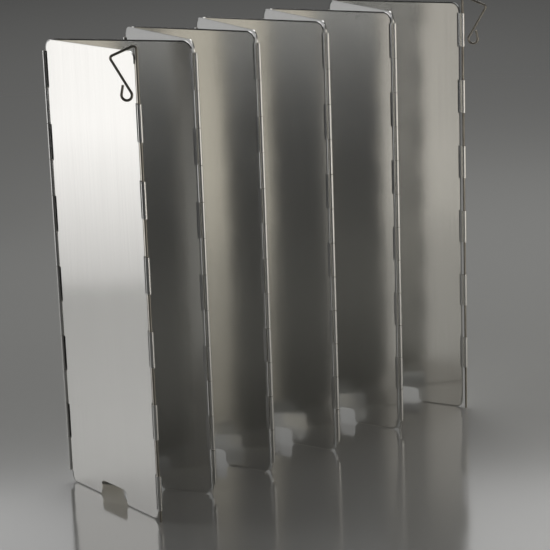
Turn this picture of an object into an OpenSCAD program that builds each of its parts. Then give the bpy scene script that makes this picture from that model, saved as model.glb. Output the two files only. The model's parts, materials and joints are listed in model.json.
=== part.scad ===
// Folding stove windscreen: sheet panels hinged on wire pins, standing half folded.
// Sizes are in millimetres and angles in degrees. The floor is at Z = 0.
// The front hinges lie along X, and the panels run between the front and the back (+Y).

/* [Panel] */
// Height of a panel from its foot to its top edge
panel_height = 240; // [160:5:320]
// Width of a panel between its two hinge axes
panel_width = 84; // [60:1:120]
// Thickness of the aluminium sheet
sheet = 0.5; // [0.3:0.05:0.8]
// Radius of a panel's four corners
corner_r = 5; // [2:0.5:6]
// Distance from a hinge axis to the upright edge of the sheet
edge_setback = 1.6; // [1.5:0.1:3]
// How much deeper the sheet is cut back where the neighbour's knuckles turn
relief_depth = 0.2; // [0.1:0.1:1]

/* [Foot notch] */
// Width of the notch in the middle of the foot
notch_width = 23; // [12:1:40]
// Height of the notch
notch_height = 8.5; // [6:0.5:20]
// Radius of the notch's upper corners
notch_r = 2.5; // [1:0.5:4]
// Radius that flares the notch's mouth
mouth_r = 3; // [1:0.5:4]

/* [Hinge] */
// Distance from a panel's top and foot to its first and last knuckle
hinge_margin = 6; // [5:0.5:15]
// Knuckle places along a hinge, taken in turn by the two panels
knuckle_places = 12; // [6:2:20]
// Gap between neighbouring knuckles along the pin
knuckle_gap = 0.3; // [0.2:0.05:0.6]
// Diameter of the hinge and anchor wire
wire_d = 1.3; // [1:0.1:1.6]
// Clearance on the radius between the wire and a knuckle
wire_clearance = 0.08; // [0.02:0.01:0.1]
// Gap between two panels that are folded face to face
fold_gap = 0.1; // [0.05:0.05:0.2]
// Slit between the end of a roll and its own sheet
roll_slit = 0.2; // [0.1:0.05:0.3]

/* [Anchor hook] */
// Height of the top bend's centre line above the panels
hook_rise = 2.8; // [2:0.1:8]
// Straight length of the hook's top run
hook_top_run = 10.8; // [8:0.1:20]
// Straight length of the slanted run back towards the pin
hook_slant_run = 18.2; // [14:0.1:24]
// Straight length of the wire's end beyond the eye
hook_end_run = 4.4; // [1:0.1:5]
// Centre line radius of the two tight bends
hook_bend_r = 1.5; // [1.2:0.1:3]
// Centre line radius of the open eye
hook_eye_r = 2.6; // [2:0.1:4]
// How much thicker the wire is where it is bent
bend_swell = 0.04; // [0.02:0.01:0.1]
// Turn of the bend at the top of the pin
hook_top_turn = 113; // [95:1:120]
// Turn of the bend at the hook's far corner
hook_corner_turn = 97; // [95:1:110]
// Turn of the wire round the eye
hook_eye_turn = 222; // [180:1:226]
// Angle from the first panel to the left hook
left_hook_turn = 42; // [20:1:90]
// Angle from the line of the last panel to the right hook
right_hook_turn = 19; // [0:1:60]

/* [Pose] */
// Fold angle at each hinge from left to right, zero where two panels lie face to face
rest_fold = [30.2, 39.7, 28.7, 33.2, 32.2, 32.7, 33.7, 34.2, 37.7]; // [20:0.1:60]
// Heading of the first panel from the X axis
first_heading = 84.4; // [70:0.1:90]

/* [Hidden] */
$fn = 48;
panel_count = len(rest_fold) + 1;
bore_r = wire_d / 2 + wire_clearance;
roll_r = bore_r + sheet;
// The sheet lies just beside the hinge axis, so that two panels fold face to face
sheet_near = fold_gap / 2;
sheet_mid = sheet_near + sheet / 2;
// A tab ends in its roll's wall: the roll starts inside the tab and winds on to a slit short of its outer face
wall_mid = bore_r + sheet / 2;
roll_start = -asin(sheet_mid / roll_r);
roll_end = 360 - asin((sheet_near + sheet + roll_slit) / roll_r);
hinge_height = panel_height - 2 * hinge_margin;
place_height = hinge_height / knuckle_places;
knuckle_height = place_height - knuckle_gap;
tab_width = edge_setback + relief_depth;
// Length by which a roll stands out past its tab at each end
roll_flare = 0.1;
tab_height = knuckle_height - 2 * roll_flare;
// Length by which a cut runs out past the edge that it opens
cut_over = 1;
// Length by which a straight run of wire reaches into the thicker bend that it meets
bend_lap = 0.1;

// Straight run, turn and bend radius of each stretch of an anchor pin
hook_path = [
    [panel_height + hook_rise - hook_bend_r, hook_top_turn, hook_bend_r],
    [hook_top_run, hook_corner_turn, hook_bend_r],
    [hook_slant_run, -hook_eye_turn, hook_eye_r],
    [hook_end_run, 0, 0]
];
hook_reach = 2 * hook_bend_r + hook_top_run * sin(hook_top_turn);

// Odd panels run from the front to the back, and even panels back to the front
function runs_back(k) = k % 2 == 1;

// The panels' headings: each hinge turns the next panel round by what its fold leaves of 180
function heading(k) =
    k == 1 ? first_heading
    : heading(k - 1) + (runs_back(k) ? 1 : -1) * (180 - rest_fold[k - 2]);

function turned(v, angle) = [v.x * cos(angle) - v.y * sin(angle), v.x * sin(angle) + v.y * cos(angle)];

// Hinge axes in plan: a panel's two axes lie beside opposite faces of its sheet, so that it folds both ways
function hinge_axis(k) =
    k == 0 ? [0, 0]
    : hinge_axis(k - 1) + turned([panel_width, (runs_back(k) ? -2 : 2) * sheet_mid], heading(k));

hinge_axes = [for (k = [0 : panel_count]) hinge_axis(k)];
left_hook_heading = heading(1) + left_hook_turn;
right_hook_heading = heading(panel_count) + right_hook_turn;
hook_tips = [
    hinge_axes[0] + turned([hook_reach, 0], left_hook_heading),
    hinge_axes[panel_count] + turned([hook_reach, 0], right_hook_heading)
];

// The origin is under the middle of the whole object
outermost = concat(hinge_axes, hook_tips);
plan_x = [for (p = outermost) p.x];
plan_y = [for (p = outermost) p.y];
middle = [(min(plan_x) + max(plan_x)) / 2, (min(plan_y) + max(plan_y)) / 2];

// Foot of a knuckle place, counted down from the top of the hinge
function place_foot(place) = panel_height - hinge_margin - place * place_height;

module at_axis(k) {
    translate([hinge_axes[k].x - middle.x, hinge_axes[k].y - middle.y, 0])
        children();
}

// The sheet's outline is drawn with the width along X and the height along Y
module rounded_sheet() {
    width = panel_width - 2 * edge_setback;
    translate([edge_setback, corner_r])
        square([width, panel_height - 2 * corner_r]);
    translate([edge_setback + corner_r, 0])
        square([width - 2 * corner_r, panel_height]);
    for (x = [edge_setback + corner_r, panel_width - edge_setback - corner_r])
        for (y = [corner_r, panel_height - corner_r])
            translate([x, y])
                circle(corner_r);
}

// Notch with round upper corners, whose mouth opens out in two quarter rounds
module foot_notch() {
    half = notch_width / 2;
    translate([panel_width / 2, 0]) {
        translate([-half, -cut_over])
            square([notch_width, notch_height - notch_r + cut_over]);
        translate([notch_r - half, 0])
            square([notch_width - 2 * notch_r, notch_height]);
        for (side = [-1, 1])
            translate([side * (half - notch_r), notch_height - notch_r])
                circle(notch_r);
        difference() {
            translate([-half - mouth_r, -cut_over])
                square([notch_width + 2 * mouth_r, mouth_r + cut_over]);
            for (side = [-1, 1])
                translate([side * (half + mouth_r), mouth_r])
                    circle(mouth_r);
        }
    }
}

// Cut-outs along one edge at every second place, where the neighbour's knuckles turn
module edge_reliefs(first_place) {
    for (place = [first_place : 2 : knuckle_places])
        translate([edge_setback - cut_over, place_foot(place) - knuckle_gap / 2])
            square([relief_depth + cut_over, place_height + knuckle_gap]);
}

// Tabs along one edge at every second place, out into the walls of their rolls
module edge_tabs(first_place) {
    for (place = [first_place : 2 : knuckle_places])
        translate([wall_mid, place_foot(place) + (place_height - tab_height) / 2])
            square([tab_width - wall_mid, tab_height]);
}

module far_edge() {
    translate([panel_width, 0])
        mirror([1, 0])
            children();
}

module sheet_outline() {
    difference() {
        rounded_sheet();
        foot_notch();
        edge_reliefs(1);
        far_edge()
            edge_reliefs(2);
    }
    edge_tabs(2);
    far_edge()
        edge_tabs(1);
}

// Rolls of one edge: each tab winds on round the hinge axis, back to its own outer face
module edge_rolls(first_place) {
    for (place = [first_place : 2 : knuckle_places])
        translate([0, 0, place_foot(place) + knuckle_gap / 2])
            rotate(roll_start)
                rotate_extrude(angle = roll_end - roll_start)
                    translate([bore_r, 0])
                        square([sheet, knuckle_height]);
}

// A panel that runs back: its near hinge axis is at the origin
module flat_panel() {
    translate([0, -sheet_near, 0])
        rotate([90, 0, 0])
            linear_extrude(sheet)
                sheet_outline();
    edge_rolls(2);
    translate([panel_width, -2 * sheet_mid, 0])
        rotate(180)
            edge_rolls(1);
}

module panel(k) {
    color("lightgray")
        at_axis(k - 1)
            rotate(heading(k))
                if (runs_back(k))
                    flat_panel();
                else
                    mirror([0, 1, 0])
                        flat_panel();
}

module hinge_pin(k) {
    color("gray")
        at_axis(k)
            translate([0, 0, hinge_margin])
                cylinder(d = wire_d, h = hinge_height);
}

// A bend that leaves the +Z line towards +X, or towards -X where the turn is negative
module wire_bend(turn, radius) {
    translate([sign(turn) * radius, 0, 0])
        rotate([90, 0, 0])
            rotate(turn > 0 ? 180 - turn : 0)
                rotate_extrude(angle = abs(turn))
                    translate([radius, 0])
                        circle(d = wire_d + bend_swell);
}

// Wire bent flat in the XZ plane: each straight run and bend starts where the last one ends
module bent_wire(path, step = 0) {
    run = path[step][0];
    turn = path[step][1];
    radius = path[step][2];
    lap_before = step > 0 ? bend_lap : 0;
    lap_after = turn != 0 ? bend_lap : 0;
    translate([0, 0, -lap_before])
        cylinder(d = wire_d, h = lap_before + run + lap_after);
    if (turn != 0)
        translate([0, 0, run]) {
            wire_bend(turn, radius);
            translate([sign(turn) * radius * (1 - cos(turn)), 0, radius * sin(abs(turn))])
                rotate([0, turn, 0])
                    bent_wire(path, step + 1);
        }
}

module anchor_pin_left() {
    color("dimgray")
        at_axis(0)
            rotate(left_hook_heading)
                bent_wire(hook_path);
}

module anchor_pin_right() {
    color("dimgray")
        at_axis(panel_count)
            rotate(right_hook_heading)
                bent_wire(hook_path);
}

for (k = [1 : panel_count])
    panel(k);
for (k = [1 : panel_count - 1])
    hinge_pin(k);
anchor_pin_left();
anchor_pin_right();
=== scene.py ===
"""Folding stove windscreen: bare aluminium panels on wire hinges, standing half folded on a pale floor."""
import json
import math

import bpy
from mathutils import Matrix, Vector


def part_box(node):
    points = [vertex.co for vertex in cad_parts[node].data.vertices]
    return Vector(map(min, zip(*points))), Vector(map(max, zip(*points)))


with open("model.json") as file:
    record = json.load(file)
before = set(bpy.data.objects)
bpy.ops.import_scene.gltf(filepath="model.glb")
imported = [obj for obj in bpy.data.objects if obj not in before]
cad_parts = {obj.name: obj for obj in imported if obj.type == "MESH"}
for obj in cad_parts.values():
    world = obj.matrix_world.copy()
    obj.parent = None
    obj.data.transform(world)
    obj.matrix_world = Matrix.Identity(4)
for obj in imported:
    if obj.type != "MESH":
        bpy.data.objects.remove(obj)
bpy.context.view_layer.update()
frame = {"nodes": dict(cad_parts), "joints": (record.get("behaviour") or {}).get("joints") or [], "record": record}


# Panels
# Ten plates cut from 0.5 mm aluminium sheet and left bare, as they come from the rolling mill.
# Tabs along their upright edges are rolled into knuckles, and handling has left the sheet slightly wavy.

MM = 0.001


def linear(hex_colour):
    """An sRGB hex colour as linear red, green, blue and alpha."""
    parts = [int(hex_colour[i:i + 2], 16) / 255 for i in (1, 3, 5)]
    return [p / 12.92 if p <= 0.04045 else ((p + 0.055) / 1.055) ** 2.4 for p in parts] + [1.0]


def add_node(tree, kind, settings, inputs):
    """Adds a shader node: settings are its properties, inputs are values or sockets by name or place."""
    node = tree.nodes.new("ShaderNode" + kind)
    for name, value in settings.items():
        setattr(node, name, value)
    for name, value in inputs.items():
        if isinstance(value, bpy.types.NodeSocket):
            tree.links.new(value, node.inputs[name])
        else:
            node.inputs[name].default_value = value
    return node


def mill_finish_aluminium(number, near_axis, far_axis):
    """Rolled sheet left bare: faint upright rolling lines, slow waves and hazy marks of handling.

    To the eye it is a dull mirror that draws what stands round it into soft upright streaks. The curled
    edges are duller, each tab is pressed in a little where its roll begins, and the cut rim is broken.
    """
    material = bpy.data.materials.new(f"mill_finish_aluminium_{number}")
    material.use_nodes = True
    tree = material.node_tree
    shader = tree.nodes["Principled BSDF"]
    place = add_node(tree, "TexCoord", {}, {}).outputs["Object"]

    # Rolling lines are finer than this on the real sheet, and are drawn wide enough to show
    line_size = (0.9 * MM, 0.9 * MM, 70 * MM)
    line_depth = 0.003 * MM
    lines_at = add_node(tree, "Mapping", {}, {"Vector": place, "Scale": [1 / s for s in line_size]})
    lines = add_node(tree, "TexNoise", {}, {"Vector": lines_at.outputs[0], "Scale": 1.0, "Detail": 2.0})
    # The sheet is a little uneven over a few fingers' width, and its waves are longer upwards
    wave_size = (42 * MM, 42 * MM, 120 * MM)
    wave_depth = 0.25 * MM
    waves_at = add_node(tree, "Mapping", {}, {"Vector": place, "Scale": [1 / s for s in wave_size]})
    waves = add_node(tree, "TexNoise", {}, {"Vector": waves_at.outputs[0], "Scale": 1.0, "Detail": 1.0})
    # Hazy marks of handling, a finger or two wide
    haze_size = 24 * MM
    clear_roughness, hazy_roughness = 0.11, 0.16
    haze = add_node(tree, "TexNoise", {}, {"Vector": place, "Scale": 1 / haze_size, "Detail": 4.0})

    # The panel's own frame: X runs along its width from the near hinge axis, and Z is the height
    along = (far_axis - near_axis).normalized()
    turn = -math.atan2(along.y, along.x)
    moved = Matrix.Rotation(turn, 3, "Z") @ -near_axis
    own = add_node(tree, "Mapping", {}, {"Vector": place, "Rotation": (0, 0, turn), "Location": moved})
    own_axes = add_node(tree, "SeparateXYZ", {}, {0: own.outputs[0]})
    half_width = (far_axis - near_axis).length / 2
    aside = add_node(tree, "Math", {"operation": "SUBTRACT"}, {0: own_axes.outputs["X"], 1: half_width})
    off_middle = add_node(tree, "Math", {"operation": "ABSOLUTE"}, {0: aside.outputs[0]})

    # Curling dulls the rolls, which begin at these distances from the hinge axes
    roll_starts, roll_dull = 1.9 * MM, 1.5 * MM
    edge_roughness = 0.2
    rolled = add_node(tree, "MapRange", {}, {
        "Value": off_middle.outputs[0],
        "From Min": half_width - roll_starts, "From Max": half_width - roll_dull})

    # The far edge has its tabs at the first knuckle place from the top and every second one after it,
    # and the near edge has them between. A tab's neck slopes in towards its roll
    pair_height = 38 * MM
    hinge_top = 234 * MM
    neck_starts, neck_ends = 3.1 * MM, 1.4 * MM
    neck_depth = 0.5 * MM
    pairs = add_node(tree, "MapRange", {"clamp": False}, {
        "Value": own_axes.outputs["Z"], "From Min": hinge_top, "From Max": hinge_top - pair_height})
    in_pair = add_node(tree, "Math", {"operation": "FRACT"}, {0: pairs.outputs[0]})
    first = add_node(tree, "Math", {"operation": "LESS_THAN"}, {0: in_pair.outputs[0], 1: 0.5})
    far = add_node(tree, "Math", {"operation": "GREATER_THAN"}, {0: aside.outputs[0], 1: 0.0})
    tabs = add_node(tree, "Math", {"operation": "COMPARE"}, {0: first.outputs[0], 1: far.outputs[0], 2: 0.5})
    neck = add_node(tree, "MapRange", {}, {
        "Value": off_middle.outputs[0],
        "From Min": half_width - neck_starts, "From Max": half_width - neck_ends})
    pressed = add_node(tree, "Math", {"operation": "MULTIPLY"}, {0: neck.outputs[0], 1: tabs.outputs[0]})

    # The cut rim is broken all round, and is found by the distance past the rectangle on which the
    # outline's rounded corners have their centres
    sheet_height = 240 * MM
    edge_setback = 1.6 * MM
    corner_radius = 5 * MM
    rim_width = 0.7 * MM
    rim_depth = 0.2 * MM
    height_off = add_node(tree, "Math", {"operation": "SUBTRACT"}, {
        0: own_axes.outputs["Z"], 1: sheet_height / 2})
    off_centre = add_node(tree, "Math", {"operation": "ABSOLUTE"}, {0: height_off.outputs[0]})
    past_side = add_node(tree, "Math", {"operation": "SUBTRACT"}, {
        0: off_middle.outputs[0], 1: half_width - edge_setback - corner_radius})
    past_end = add_node(tree, "Math", {"operation": "SUBTRACT"}, {
        0: off_centre.outputs[0], 1: sheet_height / 2 - corner_radius})
    corner = add_node(tree, "CombineXYZ", {}, {"X": past_side.outputs[0], "Y": past_end.outputs[0]})
    outer = add_node(tree, "VectorMath", {"operation": "MAXIMUM"}, {0: corner.outputs[0], 1: (0, 0, 0)})
    outer_length = add_node(tree, "VectorMath", {"operation": "LENGTH"}, {0: outer.outputs[0]})
    larger = add_node(tree, "Math", {"operation": "MAXIMUM"}, {
        0: past_side.outputs[0], 1: past_end.outputs[0]})
    inner = add_node(tree, "Math", {"operation": "MINIMUM"}, {0: larger.outputs[0], 1: 0.0})
    outline = add_node(tree, "Math", {"operation": "ADD"}, {
        0: outer_length.outputs["Value"], 1: inner.outputs[0]})
    rim = add_node(tree, "MapRange", {}, {
        "Value": outline.outputs[0], "From Min": corner_radius - rim_width, "From Max": corner_radius})
    rough_edge = add_node(tree, "Math", {"operation": "MAXIMUM"}, {0: rolled.outputs[0], 1: rim.outputs[0]})

    wave_bump = add_node(tree, "Bump", {}, {
        "Height": waves.outputs["Fac"], "Distance": wave_depth, "Strength": 1.0})
    line_bump = add_node(tree, "Bump", {}, {
        "Height": lines.outputs["Fac"], "Distance": line_depth, "Strength": 1.0,
        "Normal": wave_bump.outputs[0]})
    neck_bump = add_node(tree, "Bump", {"invert": True}, {
        "Height": pressed.outputs[0], "Distance": neck_depth, "Strength": 1.0,
        "Normal": line_bump.outputs[0]})
    rim_bump = add_node(tree, "Bump", {"invert": True}, {
        "Height": rim.outputs[0], "Distance": rim_depth, "Strength": 1.0,
        "Normal": neck_bump.outputs[0]})
    flat_roughness = add_node(tree, "MapRange", {}, {
        "Value": haze.outputs["Fac"], "To Min": clear_roughness, "To Max": hazy_roughness})
    roughness = add_node(tree, "MapRange", {}, {
        "Value": rough_edge.outputs[0], "To Min": flat_roughness.outputs[0], "To Max": edge_roughness})
    colour = add_node(tree, "Mix", {"data_type": "RGBA"}, {
        "Factor": lines.outputs["Fac"], 6: linear("#ebebe9"), 7: linear("#f5f5f3")})
    tree.links.new(colour.outputs[2], shader.inputs["Base Color"])
    tree.links.new(roughness.outputs[0], shader.inputs["Roughness"])
    tree.links.new(rim_bump.outputs[0], shader.inputs["Normal"])
    shader.inputs["Metallic"].default_value = 1.0
    return material


# The eleven upright axes from left to right: an anchor pin's, the nine hinges' and the other anchor pin's
panel_count = 10
joints = {joint["name"]: joint for joint in frame["joints"]}
mounts = {mount["name"]: mount for mount in frame["record"]["mounts"]}
hinges = [joints[f"hinge_{number}"] for number in range(1, panel_count)]
on_axes = [mounts["left_anchor_tip"], *hinges, mounts["right_anchor_tip"]]
axes = [Vector((*item["pos_m"][:2], 0)) for item in on_axes]
for number in range(1, panel_count + 1):
    panel = frame["nodes"][f"panel_{number}"]
    panel.material_slots[0].material = mill_finish_aluminium(number, axes[number - 1], axes[number])


# Hinge and anchor pins
# Straight lengths of drawn steel wire hold the knuckles together, and each free edge has a longer one.
# The long ones are bent into a hook with an open eye, and their tips go into the ground.

def drawn_steel_wire():
    """Wire drawn through a die: to the eye satin grey, with fine lines along it and darker oily patches."""
    material = bpy.data.materials.new("drawn_steel_wire")
    material.use_nodes = True
    tree = material.node_tree
    shader = tree.nodes["Principled BSDF"]
    place = add_node(tree, "TexCoord", {}, {}).outputs["Object"]

    # Drawing lines are finer than this on the real wire, and are drawn wide enough to show
    line_size = (0.35 * MM, 0.35 * MM, 8 * MM)
    line_depth = 0.01 * MM
    smooth_roughness, scored_roughness = 0.3, 0.5
    lines_at = add_node(tree, "Mapping", {}, {"Vector": place, "Scale": [1 / s for s in line_size]})
    lines = add_node(tree, "TexNoise", {}, {"Vector": lines_at.outputs[0], "Scale": 1.0, "Detail": 2.0})
    patch_size = 9 * MM
    patches = add_node(tree, "TexNoise", {}, {"Vector": place, "Scale": 1 / patch_size, "Detail": 3.0})

    bump = add_node(tree, "Bump", {}, {
        "Height": lines.outputs["Fac"], "Distance": line_depth, "Strength": 1.0})
    roughness = add_node(tree, "MapRange", {}, {
        "Value": lines.outputs["Fac"], "To Min": smooth_roughness, "To Max": scored_roughness})
    colour = add_node(tree, "Mix", {"data_type": "RGBA"}, {
        "Factor": patches.outputs["Fac"], 6: linear("#8a857c"), 7: linear("#bdb8ae")})
    tree.links.new(colour.outputs[2], shader.inputs["Base Color"])
    tree.links.new(roughness.outputs[0], shader.inputs["Roughness"])
    tree.links.new(bump.outputs[0], shader.inputs["Normal"])
    shader.inputs["Metallic"].default_value = 1.0
    return material


wire = drawn_steel_wire()
for name, node in frame["nodes"].items():
    if "_pin_" in name:
        node.material_slots[0].material = wire


# Floor
# A large level floor of pale paint under a clear lacquer.
# The lacquer gives it a soft gloss, so that the panels' feet and the lamps show in it.

floor_half = 4.0
floor_corners = [(-floor_half, -floor_half, 0), (floor_half, -floor_half, 0),
                 (floor_half, floor_half, 0), (-floor_half, floor_half, 0)]
floor_mesh = bpy.data.meshes.new("floor")
floor_mesh.from_pydata(floor_corners, [], [(0, 1, 2, 3)])
floor = bpy.data.objects.new("floor", floor_mesh)
bpy.context.scene.collection.objects.link(floor)

floor_gloss = 0.12
pale_paint = bpy.data.materials.new("pale_paint")
pale_paint.use_nodes = True
paint = pale_paint.node_tree.nodes["Principled BSDF"]
paint.inputs["Base Color"].default_value = linear("#c8c8c5")
paint.inputs["Roughness"].default_value = floor_gloss
paint.inputs["Coat Weight"].default_value = 0.8
paint.inputs["Coat Roughness"].default_value = floor_gloss
floor_mesh.materials.append(pale_paint)


# Light
# Softboxes stand on the floor round the screen, where its panels and rolls reflect them to the camera.
# Three more hang over the floor and light it. Sizes and places are in metres.

UPWARDS = Vector((0, 0, 1))
middle_of_floor = Vector((0, 0, 0))
look_heading = 46.13


def heading(degrees):
    """A level direction, turned from +X towards +Y."""
    return Vector((math.cos(math.radians(degrees)), math.sin(math.radians(degrees)), 0))


def softbox(name, middle, across, up, width, height, radiance, colour):
    """A rectangular lamp that shows the given brightness, as a part of white, where metal reflects it.

    Its width lies along across and its height along up, and its back is where their cross product points.
    """
    lamp = bpy.data.lights.new(name, "AREA")
    lamp.shape = "RECTANGLE"
    lamp.size = width
    lamp.size_y = height
    lamp.energy = radiance * math.pi * width * height
    lamp.color = linear(colour)[:3]
    holder = bpy.data.objects.new(name, lamp)
    axes_of_lamp = Matrix((across, up, across.cross(up))).transposed()
    holder.matrix_world = Matrix.Translation(middle) @ axes_of_lamp.to_4x4()
    holder.visible_camera = False
    bpy.context.scene.collection.objects.link(holder)
    return lamp


def standing_softbox(name, foot, faces, width, height, radiance, colour):
    """A softbox that stands upright on the floor at its foot and faces another point of the floor."""
    across = UPWARDS.cross((foot - faces).normalized())
    return softbox(name, foot + height / 2 * UPWARDS, across, UPWARDS, width, height, radiance, colour)


def hanging_softbox(name, over, rise, width, length, radiance, colour):
    """A softbox that hangs level over a point of the floor, with its length along the camera's heading."""
    across, along = heading(look_heading - 90), heading(look_heading)
    return softbox(name, over + rise * UPWARDS, across, along, width, length, radiance, colour)


# The first panel shows this one, which grows brighter from the floor up to its full level
low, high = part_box("panel_1")
first_panel = Vector(((low.x + high.x) / 2, (low.y + high.y) / 2, 0))
wall_box_height = 0.5
wall_box_full_from = 0.12
wall_box_foot_level = 0.46
wall_box = standing_softbox("wall_softbox", foot=first_panel + 0.45 * heading(125), faces=first_panel,
                            width=0.24, height=wall_box_height, radiance=1.06, colour="#fffdfb")
wall_box.use_nodes = True
wall_tree = wall_box.node_tree
over_box = add_node(wall_tree, "NewGeometry", {}, {}).outputs["Parametric"]
up_box = add_node(wall_tree, "SeparateXYZ", {}, {0: over_box}).outputs["Y"]
wall_level = add_node(wall_tree, "MapRange", {}, {
    "Value": up_box, "From Max": wall_box_full_from / wall_box_height,
    "To Min": wall_box_foot_level, "To Max": 1.0})
wall_tree.links.new(wall_level.outputs[0], wall_tree.nodes["Emission"].inputs["Strength"])

# A wide warm one gives the streaks on the panels that run forwards, and a bright strip beside it gives
# the lines of light along the rolls
front_y = -0.48
front_box_x, strip_x = 0.255, 0.005
front_height = 0.28
standing_softbox("front_softbox", foot=Vector((front_box_x, front_y, 0)), faces=Vector((front_box_x, 0, 0)),
                 width=0.57, height=front_height, radiance=0.72, colour="#fff7ea")
standing_softbox("strip_softbox", foot=Vector((strip_x, front_y, 0)), faces=Vector((strip_x, 0, 0)),
                 width=0.05, height=front_height, radiance=5.0, colour="#fffdfa")

# The last panel shows this one, off to the right
last_panel_foot = Vector((0.115, -0.025, 0))
standing_softbox("side_softbox", foot=Vector((0.5, -0.285, 0)), faces=last_panel_foot,
                 width=0.16, height=front_height, radiance=0.45, colour="#fff9f0")

# A long low one far behind the camera lightens the panels' tops
standing_softbox("low_softbox", foot=2.7 * heading(230), faces=middle_of_floor,
                 width=1.8, height=0.06, radiance=1.2, colour="#ffffff")

# The panels that run backwards show this one over the tops of the others
standing_softbox("back_softbox", foot=0.6 * heading(97), faces=middle_of_floor,
                 width=0.4, height=0.5, radiance=0.36, colour="#ffffff")

# These light the floor: far behind the screen, in front of it, and just behind it to the right
hanging_softbox("back_lamp", over=2.0 * heading(look_heading), rise=1.3,
                width=1.6, length=2.8, radiance=1.15, colour="#ffffff")
hanging_softbox("front_lamp", over=-1.2 * heading(look_heading), rise=0.7,
                width=0.8, length=0.3, radiance=0.4, colour="#eef3ff")
hanging_softbox("near_lamp", over=0.6 * heading(look_heading - 33), rise=0.55,
                width=0.9, length=0.4, radiance=1.2, colour="#ffffff")

world = bpy.data.worlds.new("studio")
world.use_nodes = True
world.node_tree.nodes["Background"].inputs["Color"].default_value = linear("#282828")
bpy.context.scene.world = world


# Camera
# It looks down on the screen from the front left, from about a metre away, and is rolled a little.

look_down = math.radians(14.31)
roll = math.radians(2.015)
aim = Vector((1.8, -2.2, 99.4)) * MM
distance = 1043 * MM
focal_length_px = 1884.5
image_px = 550

forward = heading(look_heading) * math.cos(look_down) + Vector((0, 0, -math.sin(look_down)))
level_right = heading(look_heading - 90)
level_down = forward.cross(level_right)
right = math.cos(roll) * level_right + math.sin(roll) * level_down
up = math.sin(roll) * level_right - math.cos(roll) * level_down
camera_data = bpy.data.cameras.new("camera")
camera_data.sensor_width = 36
camera_data.lens = focal_length_px / image_px * camera_data.sensor_width
camera_data.clip_start = 0.01
camera = bpy.data.objects.new("camera", camera_data)
camera.matrix_world = (Matrix.Translation(aim - distance * forward)
                       @ Matrix((right, up, -forward)).transposed().to_4x4())
bpy.context.scene.collection.objects.link(camera)
bpy.context.scene.camera = camera
bpy.context.scene.view_settings.view_transform = "Standard"
